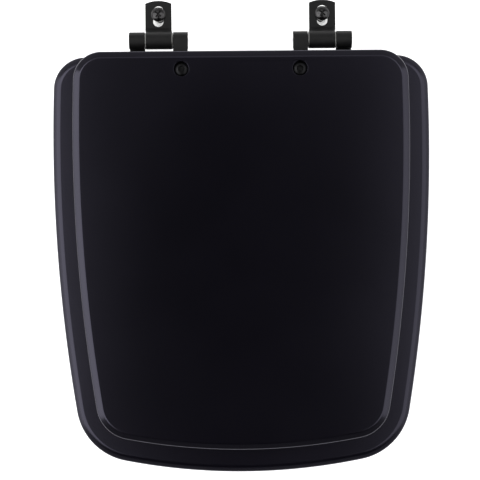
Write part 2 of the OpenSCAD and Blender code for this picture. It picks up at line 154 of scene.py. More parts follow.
# %% [markdown]
# ## Finishing helpers
# Every real edge is a little round, and light shows it. A bevel rounds the edge, smooth
# shading hides the facets of curved faces, and weighted normals keep the large flat
# faces truly flat beside the small round ones. Modifiers are applied, so the mesh that
# is exported is the mesh that is seen.

# %% Modifiers and shading
MERGE_WITHIN = 0.002 * MM
SHARP_DEGREES = 32
SMOOTH_DEGREES = 40


def apply_modifier(piece, kind, **settings):
    """Adds one modifier, sets it and applies it."""
    work_on(piece)
    bpy.ops.object.modifier_add(type=kind)
    modifier = piece.modifiers[-1]
    for name, value in settings.items():
        setattr(modifier, name, value)
    bpy.ops.object.modifier_apply(modifier=modifier.name)


def tidy_normals(piece):
    """Joins doubled vertices and turns every face outwards."""
    edit(piece)
    bpy.ops.mesh.select_all(action="SELECT")
    bpy.ops.mesh.remove_doubles(threshold=MERGE_WITHIN)
    bpy.ops.mesh.normals_make_consistent(inside=False)
    bpy.ops.object.mode_set(mode="OBJECT")


def cut_with(piece, cutters, keep="DIFFERENCE"):
    """Takes the cutters' shapes out of a piece, then removes the cutters."""
    for cutter in cutters:
        apply_modifier(piece, "BOOLEAN", object=cutter, operation=keep, solver="EXACT")
        bpy.data.objects.remove(cutter)


def round_edges(piece, width, segments=3):
    """Rounds every sharp edge."""
    apply_modifier(
        piece, "BEVEL", width=width, segments=segments,
        limit_method="ANGLE", angle_limit=math.radians(SHARP_DEGREES),
        miter_outer="MITER_ARC", harden_normals=False)


def smooth(piece):
    """Smooth shading on curves, crisp shading on what is left sharp."""
    work_on(piece)
    bpy.ops.object.shade_smooth_by_angle(angle=math.radians(SMOOTH_DEGREES))
    apply_modifier(piece, "WEIGHTED_NORMAL", keep_sharp=True, weight=80)


def twin_of(piece, name):
    """The same piece for the left-hand side, mirrored, with its own mesh."""
    work_on(piece)
    bpy.ops.object.duplicate()
    bpy.ops.transform.mirror(constraint_axis=(True, False, False), orient_type="GLOBAL")
    twin = name_new(name)
    edit(twin)
    bpy.ops.mesh.select_all(action="SELECT")
    bpy.ops.mesh.normals_make_consistent(inside=False)
    bpy.ops.object.mode_set(mode="OBJECT")
    return twin


print("edges over", SHARP_DEGREES, "degrees are rounded, faces under", SMOOTH_DEGREES, "smoothed")

# %% [markdown]
# ## Finishes
# Each finish is a small node tree. A slow noise makes the colour and the gloss drift a
# little, as on any real coat, and a fine noise raises a low bump: orange peel on
# lacquer, grains on powder coat, scratches on metal. Noise reads Object coordinates,
# so its size is real and it stays on the piece when the piece moves. The specular tint
# colours what a coat mirrors, which on near black is most of what the eye sees.

# %% One recipe for every finish
NOISE_SPAN = (0.3, 0.7)


def finish_of(name, light, dark, rough, drift, grain, height, patch,
              metal=0.0, specular=0.5, tint=(1, 1, 1)):
    """A material that drifts between two colours, and from rough to rough + drift.

    patch and grain say how fine the slow and the fine noise are, per metre, and height is
    how far the fine one stands up.
    """
    made = bpy.data.materials.new(name)
    made.use_nodes = True
    nodes, links = made.node_tree.nodes, made.node_tree.links
    shader = nodes["Principled BSDF"]
    shader.inputs["Metallic"].default_value = metal
    shader.inputs["Specular IOR Level"].default_value = specular
    shader.inputs["Specular Tint"].default_value = (*tint, 1)
    where = nodes.new("ShaderNodeTexCoord").outputs["Object"]

    slow = nodes.new("ShaderNodeTexNoise")
    slow.inputs["Scale"].default_value = patch
    slow.inputs["Detail"].default_value = 5
    links.new(where, slow.inputs["Vector"])
    colour = nodes.new("ShaderNodeValToRGB")
    for stop, position, tone in zip(colour.color_ramp.elements, NOISE_SPAN, (dark, light)):
        stop.position = position
        stop.color = (*tone, 1)
    links.new(slow.outputs["Fac"], colour.inputs["Fac"])
    links.new(colour.outputs["Color"], shader.inputs["Base Color"])
    gloss = nodes.new("ShaderNodeMapRange")
    gloss.inputs["From Min"].default_value = NOISE_SPAN[0]
    gloss.inputs["From Max"].default_value = NOISE_SPAN[1]
    gloss.inputs["To Min"].default_value = rough
    gloss.inputs["To Max"].default_value = rough + drift
    links.new(slow.outputs["Fac"], gloss.inputs["Value"])
    links.new(gloss.outputs["Result"], shader.inputs["Roughness"])

    fine = nodes.new("ShaderNodeTexNoise")
    fine.inputs["Scale"].default_value = grain
    fine.inputs["Detail"].default_value = 3
    links.new(where, fine.inputs["Vector"])
    bump = nodes.new("ShaderNodeBump")
    bump.inputs["Strength"].default_value = 1.0
    bump.inputs["Distance"].default_value = height
    links.new(fine.outputs["Fac"], bump.inputs["Height"])
    links.new(bump.outputs["Normal"], shader.inputs["Normal"])
    return made


# %% [markdown]
# The lid and the ring wear the same sprayed satin lacquer, near black, with a trace of
# violet in what it mirrors. The ring is given a shade lighter and duller lacquer than the lid.
# The hinges are powder coated, which is grainier and shines less. The
# fixing bolts are black nickel, a dark mirror, and the lid's cap screws are a duller one.
# What is hidden is plain: nylon, zinc plate, black oxide and rubber.

# %% The finishes
FINISHES = {
    "lid_lacquer": finish_of(
        "satin black lacquer on the lid", light=(0.0013, 0.0010, 0.0024),
        dark=(0.0008, 0.0006, 0.0016), rough=0.19, drift=0.02,
        specular=0.63, tint=(0.79, 0.76, 1.0),
        grain=700, height=0.006 * MM, patch=9),
    "ring_lacquer": finish_of(
        "satin black lacquer on the ring", light=(0.0020, 0.0016, 0.0036),
        dark=(0.0014, 0.0011, 0.0026), rough=0.22, drift=0.02,
        specular=0.63, tint=(0.79, 0.76, 1.0),
        grain=700, height=0.006 * MM, patch=9),
    "hinge_coating": finish_of(
        "black powder coat", light=(0.0075, 0.0075, 0.0078),
        dark=(0.0040, 0.0040, 0.0042), rough=0.46, drift=0.1, specular=0.26,
        grain=1500, height=0.05 * MM, patch=260),
    "pin_steel": finish_of(
        "black oxide steel", light=(0.13, 0.13, 0.135),
        dark=(0.07, 0.07, 0.075), rough=0.32, drift=0.12,
        grain=1800, height=0.004 * MM, patch=400, metal=1.0),
    "bush_nylon": finish_of(
        "natural nylon", light=(0.32, 0.32, 0.31),
        dark=(0.25, 0.25, 0.24), rough=0.42, drift=0.1,
        grain=1500, height=0.006 * MM, patch=300),
    "black_nickel": finish_of(
        "black nickel plate", light=(0.085, 0.084, 0.085),
        dark=(0.045, 0.044, 0.045), rough=0.20, drift=0.08,
        grain=900, height=0.003 * MM, patch=320, metal=1.0),
    "dull_nickel": finish_of(
        "dull black nickel", light=(0.024, 0.024, 0.025),
        dark=(0.013, 0.013, 0.014), rough=0.28, drift=0.10,
        grain=1400, height=0.004 * MM, patch=400, metal=1.0),
    "zinc_steel": finish_of(
        "zinc plated steel", light=(0.62, 0.62, 0.60),
        dark=(0.48, 0.48, 0.48), rough=0.28, drift=0.16,
        grain=1500, height=0.005 * MM, patch=500, metal=1.0),
    "nut_nylon": finish_of(
        "white moulded nylon", light=(0.86, 0.86, 0.84),
        dark=(0.80, 0.80, 0.78), rough=0.38, drift=0.08,
        grain=900, height=0.01 * MM, patch=150),
    "pale_rubber": finish_of(
        "white soft rubber", light=(0.96, 0.96, 0.95),
        dark=(0.93, 0.93, 0.92), rough=0.62, drift=0.12,
        grain=1600, height=0.02 * MM, patch=180),
    "black_rubber": finish_of(
        "black rubber", light=(0.030, 0.030, 0.031),
        dark=(0.018, 0.018, 0.019), rough=0.62, drift=0.16,
        grain=1400, height=0.03 * MM, patch=160),
}
print(len(FINISHES), "finishes")


# %% [markdown]
# When a piece is done it is put in its place in the object: it gets its finish, rides on
# a body of the frame, and stands for the plain piece that it was made around. A finish
# has the name of a material in the frame, unless a piece is given a variant of its own.

# %% Fit a finished piece
def fit(piece, body, slot, *nodes, finish=None):
    """Gives a piece its finish and its body, and lets it stand for pieces of the frame."""
    smooth(piece)
    piece.data.materials.clear()
    piece.data.materials.append(FINISHES[finish or slot])
    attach(piece, body)
    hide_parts(*nodes)
    piece.data.calc_loop_triangles()
    print(f"{piece.name}: {len(piece.data.loop_triangles)} triangles")


# %% [markdown]
# ## The outline of a panel
# Seen from above, the lid and the ring are the same kind of shape: a straight back, long
# sides that swell a little, a shallow curved front, and round corners that run smoothly
# into both. A maker draws it with a compass, one arc after another. In Blender a single
# vertex is spun about each arc's centre in turn, and each spin starts where the last
# one ended. Only the right half is drawn, and a mirror makes the rest.

# %% Draw an outline with a compass
def start_point(name, place):
    """A piece of one vertex: a tiny plane, merged to its middle, and left in edit mode."""
    clear_selection()
    bpy.ops.mesh.primitive_plane_add(size=MM, location=place)
    piece = name_new(name)
    bpy.ops.object.mode_set(mode="EDIT")
    bpy.ops.mesh.select_mode(type="VERT")
    bpy.ops.mesh.select_all(action="SELECT")
    bpy.ops.mesh.merge(type="CENTER")
    return piece


def line_by(x, y, z):
    """Draws a straight line on from the last vertex."""
    bpy.ops.mesh.extrude_vertices_move(TRANSFORM_OT_translate={"value": (x, y, z)})


def line_through(points):
    """Draws straight lines on from the first of these points, where the last vertex is."""
    for here, there in zip(points, points[1:]):
        line_by(*(there - here))


def circles_meet(a, ra, b, rb):
    """Where two circles in plan meet, on the side towards the front."""
    between = b - a
    along = (ra**2 - rb**2 + between.length_squared) / (2 * between.length)
    off = math.sqrt(ra**2 - along**2)
    ahead = between.normalized()
    return a + along * ahead + off * Vector((ahead.y, -ahead.x))


ARC_STEPS = (20, 24, 20, 16)  # back corner, side, front corner, front


def panel_outline(
        name, width, back, front, z, widest, side_r, front_r, back_corner, front_corner):
    """A closed outline at height z: arcs of the given radii, widest that far from the back."""
    side = Vector((width / 2 - side_r, back - widest))
    nose = Vector((0, front + front_r))
    corner_y = back - back_corner
    reach = math.sqrt((side_r - back_corner) ** 2 - (corner_y - side.y) ** 2)
    rear = Vector((side.x + reach, corner_y))
    fore = circles_meet(side, side_r - front_corner, nose, front_r - front_corner)

    def turn(centre, point):
        away = point - centre
        return math.atan2(away.y, away.x)

    turns = [math.pi / 2, turn(side, rear), turn(side, fore), turn(nose, fore), -math.pi / 2]
    piece = start_point(name, (0, back, z))
    line_by(rear.x, 0, 0)
    for centre, start, end, steps in zip((rear, side, fore, nose), turns, turns[1:], ARC_STEPS):
        bpy.ops.mesh.spin(steps=steps, angle=start - end, center=(*centre, z), axis=(0, 0, 1))
    bpy.ops.object.mode_set(mode="OBJECT")
    apply_modifier(piece, "MIRROR", use_axis=(True, False, False), merge_threshold=0.01 * MM)
    return piece


# %% [markdown]
# ## The lid
# The lid is cut from wood, its rim is run over a router with a shallow sloping cutter,
# the corners of that slope are sanded round, and it is sprayed. The slope is what
# catches the light all the way round. Here the outline is filled and drawn up to where
# the slope starts, the top is inset and raised in one move, and the borders of the slope
# are bevelled: a round at the outside, a slighter one at the flat top, and the largest at
# the foot.

# %% Board, slope and rounds
SLOPE_DROP = 3.3 * MM
OUTER_ROUND = 1.3 * MM
FOOT_ROUND = 2.2 * MM
LID_SLOPE_RUN = 6.0 * MM
LID_TOP_ROUND = 0.8 * MM
lid_low, lid_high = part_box("lid_panel")

lid = panel_outline(
    "lid_board", lid_high.x - lid_low.x, lid_high.y, lid_low.y, lid_low.z,
    widest=78.5 * MM, side_r=1565 * MM, front_r=572 * MM,
    back_corner=26.5 * MM, front_corner=34 * MM)


def draw_up(piece, low, high, slope_run, top_round):
    """Fills an outline if it is open, draws it up to a board, and slopes and rounds its rims."""
    edit(piece)
    bpy.ops.mesh.select_all(action="SELECT")
    if not piece.data.polygons:
        bpy.ops.mesh.edge_face_add()
    shoulder = high - SLOPE_DROP
    bpy.ops.mesh.extrude_region_move(TRANSFORM_OT_translate={"value": (0, 0, shoulder - low)})
    tidy_normals(piece)
    edit(piece)
    pick(piece, "FACE", lambda face: face.normal.z > 0.9)
    bpy.ops.mesh.inset(thickness=slope_run, depth=SLOPE_DROP, use_even_offset=True)
    for z, width, segments in (
            (shoulder, OUTER_ROUND, 5), (high, top_round, 4), (low, FOOT_ROUND, 4)):
        pick(piece, "EDGE", lambda edge: is_rim(edge, z))
        bpy.ops.mesh.bevel(offset=width, segments=segments, profile=0.5, affect="EDGES")
    bpy.ops.object.mode_set(mode="OBJECT")


draw_up(lid, lid_low.z, lid_high.z, LID_SLOPE_RUN, LID_TOP_ROUND)
print("lid", round((lid_high.x - lid_low.x) / MM), "mm wide,", len(lid.data.polygons), "faces")

# %% [markdown]
# ### Turned shapes
# Bolts are turned on a lathe, and the cutters for round holes can be made in the same way.
# A lathe in Blender is a profile, drawn as a line of points in radius and height, that is
# spun once about its axis.

# %% A lathe
def turned(name, centre, profile, steps=48):
    """Spins a profile of (radius, height) points about an upright axis."""
    def place(radius, height):
        return Vector((centre[0] + radius, centre[1], centre[2] + height))

    points = [place(*p) for p in profile]
    piece = start_point(name, points[0])
    line_through(points)
    bpy.ops.mesh.select_all(action="SELECT")
    bpy.ops.mesh.spin(steps=steps, angle=math.tau, center=centre, axis=(0, 0, 1))
    tidy_normals(piece)
    return piece


def drill(x, y, z0, z1, radius):
    """A cutter for a straight round hole."""
    return turned("drill", (x, y, 0), [(0, z0), (radius, z0), (radius, z1), (0, z1)])


# %% [markdown]
# ### Holes in the lid
# Each lid leaf is held by a cap screw that goes down through the lid. Its head sits in a
# counterbore, below the lid's face, and the counterbore's mouth is only lightly eased.
# The holes are drilled, as in the workshop, by taking turned cutters out of the board.

# %% Counterbores and bolt holes
COUNTERBORE = 5 * MM
HEAD_ROOM = 0.55 * MM
BOLT_ROOM = 0.3 * MM
BOLT_R = 3 * MM
MOUTH_EASE = 0.3 * MM
THROUGH = 1 * MM  # how far a cutter runs past a face


def middle(node):
    """The middle of a piece of the frame."""
    low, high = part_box(node)
    return (low + high) / 2


cap_low, cap_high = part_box("lid_bolt_right")
cap_x, cap_y = middle("lid_bolt_right").x, middle("lid_bolt_right").y
cap_head_r = (cap_high.x - cap_low.x) / 2
bore_r = cap_head_r + HEAD_ROOM
bore_floor = lid_high.z - COUNTERBORE
drills = []
for side in (-1, 1):
    drills.append(drill(side * cap_x, cap_y, bore_floor, lid_high.z + THROUGH, bore_r))
    drills.append(drill(side * cap_x, cap_y, lid_low.z - THROUGH, lid_high.z, BOLT_R + BOLT_ROOM))
cut_with(lid, drills)


def is_bore_rim(edge):
    """True for the edge round a counterbore's mouth."""
    mid = (edge.verts[0].co + edge.verts[1].co) / 2
    off = math.hypot(abs(mid.x) - cap_x, mid.y - cap_y)
    return is_rim(edge, lid_high.z, sharper_than=1) and abs(off - bore_r) < 0.1 * MM


edit(lid)
found = pick(lid, "EDGE", is_bore_rim)
bpy.ops.mesh.bevel(offset=MOUTH_EASE, segments=3, profile=0.5, affect="EDGES")
bpy.ops.object.mode_set(mode="OBJECT")
print("counterbore rims:", found, "edges")

fit(lid, "lid", "lid_lacquer", "lid_panel")

# %% [markdown]
# ## The seat ring
# The ring is the lid's larger brother with an egg-shaped opening. A circle with as many
# points as the outline is stretched more to the front than to the back, which gives the
# egg, and the band between outline and egg is bridged, so that its faces run across the
# band as the grain of a bent ring would. Then it is drawn up, sloped and rounded like the
# lid, and because the slope is an inset of the whole band, the opening gets it too.

# %% Outline, opening and band
SIDE_BAND = 62 * MM
BACK_BAND = 72 * MM
FRONT_BAND = 60 * MM
WIDEST_SHARE = 0.48
RING_SLOPE_RUN = 5.5 * MM
RING_TOP_ROUND = 2.0 * MM
ring_low, ring_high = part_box("seat_ring")

ring = panel_outline(
    "ring_board", ring_high.x - ring_low.x, ring_high.y, ring_low.y, ring_low.z,
    widest=82.5 * MM, side_r=1530 * MM, front_r=565 * MM,
    back_corner=30 * MM, front_corner=56.5 * MM)
outline_points = len(ring.data.vertices)

egg_r = ring_high.x - SIDE_BAND
egg_y = ring_high.y - WIDEST_SHARE * (ring_high.y - ring_low.y)
egg_back = ring_high.y - BACK_BAND - egg_y
egg_front = egg_y - (ring_low.y + FRONT_BAND)
egg_middle = (0, egg_y, ring_low.z)
clear_selection()
bpy.ops.mesh.primitive_circle_add(vertices=outline_points, radius=egg_r, location=egg_middle)
egg = name_new("egg")
edit(egg)
for way, reach in ((1, egg_back), (-1, egg_front)):
    pick(egg, "VERT", lambda v: way * (v.co.y - egg_y) > 0)
    bpy.ops.transform.resize(value=(1, reach / egg_r, 1), center_override=egg_middle)
work_on(egg)
ring.select_set(True)
bpy.context.view_layer.objects.active = ring
bpy.ops.object.join()
edit(ring)
bpy.ops.mesh.select_mode(type="EDGE")
bpy.ops.mesh.select_all(action="SELECT")
bpy.ops.mesh.bridge_edge_loops()
draw_up(ring, ring_low.z, ring_high.z, RING_SLOPE_RUN, RING_TOP_ROUND)
print("ring band", len(ring.data.polygons), "faces, opening", round(2 * egg_r / MM), "mm wide")

# %% [markdown]
# ### Housings under the ring
# The two outer leaves of the hinges lie let into the ring's underside, so that the ring
# sits flat on its buffers. A block with two round corners is taken out of the ring for
# each, and a hole is drilled up for every wood screw.

# %% A block with round corners
def block(name, low, high, corner, segments=8, only_front=False):
    """A block between two corners, with round upright edges."""
    clear_selection()
    bpy.ops.mesh.primitive_cube_add(size=1, location=(low + high) / 2, scale=high - low)
    piece = name_new(name)
    back_limit = low.y + corner if only_front else math.inf
    edit(piece)
    pick(piece, "EDGE", lambda e: is_upright(e) and e.verts[0].co.y < back_limit)
    bpy.ops.mesh.bevel(offset=corner, segments=segments, profile=0.5, affect="EDGES")
    bpy.ops.object.mode_set(mode="OBJECT")
    return piece


# %% Cut the housings and drill the ring
STRIP = 2.5 * MM
LEAF_ROOM = 0.5 * MM
LEAF_CORNER = 4 * MM
PAST_BACK = 9 * MM
SCREW_R = 1.9 * MM
SCREW_HEAD_R = 3.8 * MM
leaf_low, leaf_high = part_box("ring_leaf_right")
knuckle_r = leaf_high.z - frame["joints"][0]["pos_m"][2]
ring_screws_low, ring_screws_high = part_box("ring_leaf_screws")
ring_screw_x = middle("ring_leaf_right").x
ring_screw_ys = (ring_screws_high.y - SCREW_HEAD_R, ring_screws_low.y + SCREW_HEAD_R)

cutters = []
for side in (-1, 1):
    near, far = sorted((side * (leaf_low.x - LEAF_ROOM), side * (leaf_high.x + LEAF_ROOM)))
    cutters.append(block(
        "housing", Vector((near, leaf_low.y - LEAF_ROOM, ring_low.z - THROUGH)),
        Vector((far, ring_high.y + PAST_BACK, leaf_low.z + STRIP)),
        corner=LEAF_CORNER, only_front=True))
    for y in ring_screw_ys:
        cutters.append(drill(side * ring_screw_x, y, ring_low.z, ring_screws_high.z, SCREW_R))
cut_with(ring, cutters)
print("ring with housings:", len(ring.data.polygons), "faces")
fit(ring, "ring", "ring_lacquer", "seat_ring")

# %% [markdown]
# ## Strips rolled into knuckles
# Every hinge part is a flat steel strip whose end is rolled round the pin. That is also
# how it is drawn here: a line runs along the middle of the strip's thickness to a point
# over or under the pin, is spun round it for most of a turn, and stops where it would
# meet itself. The line is then widened sideways and given its thickness.

# %% Roll a strip
ROLL = math.radians(318)
axis_place = Vector(frame["joints"][0]["pos_m"])
neutral_r = knuckle_r - STRIP / 2
print("knuckles", round(2 * knuckle_r / MM, 1), "mm across, strip", STRIP / MM, "mm thick")


def rolled_strip(name, x0, x1, path, turn, bend=0.0):
    """Draws (y, z) points, rolls the last of them round the hinge axis, and thickens the strip."""
    points = [Vector((x0, *p)) for p in path]
    piece = start_point(name, points[0])
    line_through(points)
    bpy.ops.mesh.spin(steps=72, angle=turn, center=(x0, *axis_place.yz), axis=(1, 0, 0))
    if bend:
        pick(piece, "VERT", lambda v: is_near(v, points[1:-1]))
        bpy.ops.mesh.bevel(offset=bend, segments=8, affect="VERTICES")
    bpy.ops.mesh.select_all(action="SELECT")
    bpy.ops.mesh.extrude_edges_move(TRANSFORM_OT_translate={"value": (x1 - x0, 0, 0)})
    bpy.ops.mesh.select_all(action="SELECT")
    bpy.ops.mesh.normals_make_consistent(inside=False)
    apply_modifier(piece, "SOLIDIFY", thickness=STRIP, offset=0, use_even_offset=True)
    tidy_normals(piece)
    return piece


def round_end(piece, radius):
    """Rounds the two upright corners at a leaf's free front end."""
    end_y = min(v.co.y for v in piece.data.vertices)
    edit(piece)
    pick(piece, "EDGE", lambda e: is_upright(e) and e.verts[0].co.y < end_y + 0.1 * MM)
    bpy.ops.mesh.bevel(offset=radius, segments=8, profile=0.5, affect="EDGES")
    bpy.ops.object.mode_set(mode="OBJECT")


HOLE_ROOM = 0.05 * MM
CONE_DEPTH = 1.9 * MM


def countersink(x, y, z):
    """A cutter for a wood screw's hole, with its cone opening downwards at height z."""
    head = SCREW_HEAD_R + HOLE_ROOM
    shank = SCREW_R + HOLE_ROOM
    depth = 2 * STRIP
    return turned("drill", (x, y, z), [
        (0, -THROUGH), (head, -THROUGH), (head, 0),
        (shank, CONE_DEPTH), (shank, depth), (0, depth)])


# %% [markdown]
# ### The leaves
# The ring leaf leaves the bottom of its knuckle and lies in its housing. The lid leaf
# leaves the top and lies under the lid. Both have countersunk holes for wood screws,
# and the lid leaf a plain one for its cap screw.

# %% Ring leaves and lid leaves
EASE = 0.45 * MM
low_line, high_line = axis_place.z - neutral_r, axis_place.z + neutral_r

ring_leaf = rolled_strip(
    "ring_strap_right", leaf_low.x, leaf_high.x,
    [(leaf_low.y, low_line), (axis_place.y, low_line)], turn=-ROLL)
round_end(ring_leaf, LEAF_CORNER)
cut_with(ring_leaf, [countersink(ring_screw_x, y, leaf_low.z) for y in ring_screw_ys])

strap_low, strap_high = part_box("lid_leaf_right")
strap_x = middle("lid_leaf_right").x
lid_screw_y = middle("lid_leaf_screws").y
strap_under = strap_high.z - STRIP
lid_leaf = rolled_strip(
    "lid_strap_right", strap_low.x, strap_high.x,
    [(strap_low.y, high_line), (axis_place.y, high_line)], turn=ROLL)
round_end(lid_leaf, LEAF_CORNER)
cut_with(lid_leaf, [
    countersink(strap_x, lid_screw_y, strap_under),
    drill(cap_x, cap_y, strap_under - THROUGH, strap_high.z + THROUGH, BOLT_R + HOLE_ROOM)])

for piece, body, node in ((ring_leaf, "ring", "ring_leaf"), (lid_leaf, "lid", "lid_leaf")):
    round_edges(piece, EASE)
    twin = twin_of(piece, piece.name.replace("right", "left"))
    fit(piece, body, "hinge_coating", node + "_right")
    fit(twin, body, "hinge_coating", node + "_left")

# %% [markdown]
# ### The brackets
# The middle knuckle's strip cranks down behind the hinge to a flat tab, which is a little
# wider than the knuckle and in line with the fixing bolt. The tab's back end is a shallow
# arc, and a slot in it lets the seat be set forward or back on its bolt. The crank's two
# bends are rounded before the line is widened, because a press brake can't fold steel to
# a sharp corner.

# %% Crank, tab and slot
CRANK_RUN = 6.3 * MM
BEND = 1.6 * MM
TAB_END_R = 31 * MM
TALL = 60 * MM
SLOT_W = 10 * MM
SLOT_L = 19.8 * MM
SLOT_FORWARD = 1.6 * MM
FOLD_AHEAD = 2.5 * MM
NEARLY_ROUND = 0.999  # a full half circle would leave faces with no width
BARREL_W = 24 * MM
TAB_W = 24.8 * MM
bracket_low, bracket_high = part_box("hinge_bracket_right")
bolt_x = middle("fixing_bolt_right").x
barrel = (bracket_low.x, bracket_low.x + BARREL_W)
barrel_middle = ((barrel[0] + barrel[1]) / 2, 0, 0)
tab_line = bracket_low.z + STRIP / 2
fold_y = -SLOT_FORWARD - SLOT_L / 2 - FOLD_AHEAD

bracket = rolled_strip(
    "bracket_strip_right", *barrel,
    [(bracket_high.y + STRIP, tab_line), (fold_y, tab_line), (fold_y - CRANK_RUN, low_line),
     (axis_place.y, low_line)], turn=ROLL, bend=BEND)
edit(bracket)
pick(bracket, "VERT", lambda v: v.co.y > fold_y - CRANK_RUN / 2)
bpy.ops.transform.resize(value=(TAB_W / BARREL_W, 1, 1), center_override=barrel_middle)
bpy.ops.transform.translate(value=(bolt_x - barrel_middle[0], 0, 0))
bpy.ops.object.mode_set(mode="OBJECT")

end_arc = turned("end arc", (bolt_x, bracket_high.y - TAB_END_R, 0), [
    (0, 0), (TAB_END_R, 0), (TAB_END_R, TALL), (0, TALL)], steps=192)
cut_with(bracket, [end_arc], keep="INTERSECT")
slot_middle = Vector((bolt_x, -SLOT_FORWARD, tab_line))
slot_half = Vector((SLOT_W / 2, SLOT_L / 2, 2 * STRIP))
cut_with(bracket, [block(
    "slot", slot_middle - slot_half, slot_middle + slot_half,
    corner=NEARLY_ROUND * SLOT_W / 2, segments=20)])
round_edges(bracket, EASE)
left_bracket = twin_of(bracket, "bracket_strip_left")
fit(bracket, "brackets", "hinge_coating", "hinge_bracket_right")
fit(left_bracket, "brackets", "hinge_coating", "hinge_bracket_left")

# %% [markdown]
# ## Bolts
# The fixing bolt has a wide pan head with a cross recess, a plain neck, and a thread.
# The thread's grooves are real: they are turned as rings one pitch apart, which at this
# size looks the same as a helix. The recess is one small block whose four sides are
# drawn out into arms, and its floor is pinched, as a driver's tip is.

# %% A cross recess
def cross_cutter(x, y, top, span, width, depth, turn):
    """A cutter for a cross recess that is depth deep below top."""
    half = Vector((width, width, depth + THROUGH)) / 2
    centre = Vector((x, y, top + THROUGH - half.z))
    piece = block("driver tip", centre - half, centre + half, corner=0.12 * width, segments=1)
    edit(piece)
    for axis, way in ((0, 1), (0, -1), (1, 1), (1, -1)):
        def starts_arm(face):
            off_line = abs(face.calc_center_median()[1 - axis] - centre[1 - axis])
            return face.normal[axis] * way > 0.9 and off_line < width / 4

        pick(piece, "FACE", starts_arm)
        push = [0, 0, 0]
        push[axis] = way * (span - width) / 2
        bpy.ops.mesh.extrude_region_move(TRANSFORM_OT_translate={"value": push})
    pick(piece, "VERT", lambda v: v.co.z < top - depth + 0.1 * MM)
    bpy.ops.transform.resize(value=(0.5, 0.5, 1), center_override=(x, y, top - depth))
    bpy.ops.mesh.select_all(action="SELECT")
    bpy.ops.transform.rotate(value=turn, orient_axis="Z", center_override=(x, y, top))
    tidy_normals(piece)
    return piece


# %% [markdown]
# ### The fixing bolts
# One profile runs from the bolt's tip through the thread and the plain neck, out under the
# head and over its low dome, which is a cap of a far larger ball. The recess is cut after
# the bolt is mirrored, so that both crosses are turned the same way.

# %% The fixing bolts
def dome_points(radius, foot, height, count=10):
    """Profile points of a low dome, from its rim in to its middle."""
    ball = (radius**2 + height**2) / (2 * height)
    reach = math.asin(radius / ball)
    angles = [reach * (1 - i / count) for i in range(count + 1)]
    return [(ball * math.sin(a), foot + height - ball + ball * math.cos(a)) for a in angles]


PITCH = 1.0 * MM
THREAD_R = 2.8 * MM
ROOT_R = 2.25 * MM
SHANK_R = 3.0 * MM
NECK = 27 * MM
TIP_CHAMFER = 0.8 * MM
HEAD_H = 4.0 * MM
HEAD_EDGE = 1.0 * MM
HEAD_CHAMFER = 0.25 * MM
CROSS_SPAN = 9.4 * MM
CROSS_WIDTH = 2.0 * MM
CROSS_DEPTH = 2.6 * MM
CROSS_TURN = math.radians(38)
screw_low, screw_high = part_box("fixing_bolt_right")
seat_z = screw_high.z - HEAD_H
head_r = (screw_high.x - screw_low.x) / 2
thread_top = seat_z - NECK

profile = [(0, screw_low.z), (ROOT_R - TIP_CHAMFER, screw_low.z)]
grooves = int((thread_top - screw_low.z - 2 * PITCH) / PITCH)
for i in range(grooves):
    root_z = screw_low.z + PITCH * (i + 0.8)
    profile += [
        (ROOT_R, root_z), (THREAD_R, root_z + 0.40 * PITCH), (THREAD_R, root_z + 0.52 * PITCH)]
profile += [
    (ROOT_R, thread_top - PITCH), (SHANK_R, thread_top), (SHANK_R, seat_z),
    (head_r - HEAD_CHAMFER, seat_z), (head_r, seat_z + HEAD_CHAMFER)]
profile += dome_points(head_r, seat_z + HEAD_EDGE, HEAD_H - HEAD_EDGE)
bolt = turned("fixing_screw_right", (bolt_x, 0, 0), profile)
left_bolt = twin_of(bolt, "fixing_screw_left")
for piece, side in ((bolt, 1), (left_bolt, -1)):
    cut_with(piece, [cross_cutter(
        side * bolt_x, 0, screw_high.z, CROSS_SPAN, CROSS_WIDTH, CROSS_DEPTH, CROSS_TURN)])
print("fixing bolt:", round((screw_high.z - screw_low.z) / MM), "mm long,", grooves, "grooves")
fit(bolt, "bolt_right", "black_nickel", "fixing_bolt_right")
fit(left_bolt, "bolt_left", "black_nickel", "fixing_bolt_left")

# %% [markdown]
# The lid's cap screws have a low domed head with a flat-floored hexagon socket. Only the
# head and its counterbore show, as a dark ring with a darker hexagon in it. The socket is
# taken out with a six-sided key that narrows a little, as a pressed socket does.

# %% The cap screws
SOCKET_ACROSS_FLATS = 6 * MM
SOCKET_DEPTH = 2.6 * MM
SOCKET_TAPER = 0.96
CAP_H = 3.6 * MM
CAP_DOME = 1.5 * MM
CAP_CHAMFER = 0.3 * MM
cap_foot = cap_high.z - CAP_H
cap_profile = [
    (0, cap_low.z), (BOLT_R - CAP_CHAMFER, cap_low.z), (BOLT_R, cap_low.z + CAP_CHAMFER),
    (BOLT_R, cap_foot), (cap_head_r - CAP_CHAMFER, cap_foot),
    (cap_head_r, cap_foot + CAP_CHAMFER)]
cap_profile += dome_points(cap_head_r, cap_high.z - CAP_DOME, CAP_DOME)
cap = turned("cap_screw_right", (cap_x, cap_y, 0), cap_profile)
clear_selection()
bpy.ops.mesh.primitive_cylinder_add(
    vertices=6, radius=SOCKET_ACROSS_FLATS / math.sqrt(3), depth=2 * SOCKET_DEPTH,
    location=(cap_x, cap_y, cap_high.z))
key = name_new("hexagon key")
edit(key)
pick(key, "FACE", lambda f: f.normal.z < -0.9)
bpy.ops.transform.resize(value=(SOCKET_TAPER, SOCKET_TAPER, 1))
cut_with(cap, [key])
left_cap = twin_of(cap, "cap_screw_left")
fit(cap, "lid", "black_nickel", "lid_bolt_right", finish="dull_nickel")
fit(left_cap, "lid", "black_nickel", "lid_bolt_left", finish="dull_nickel")

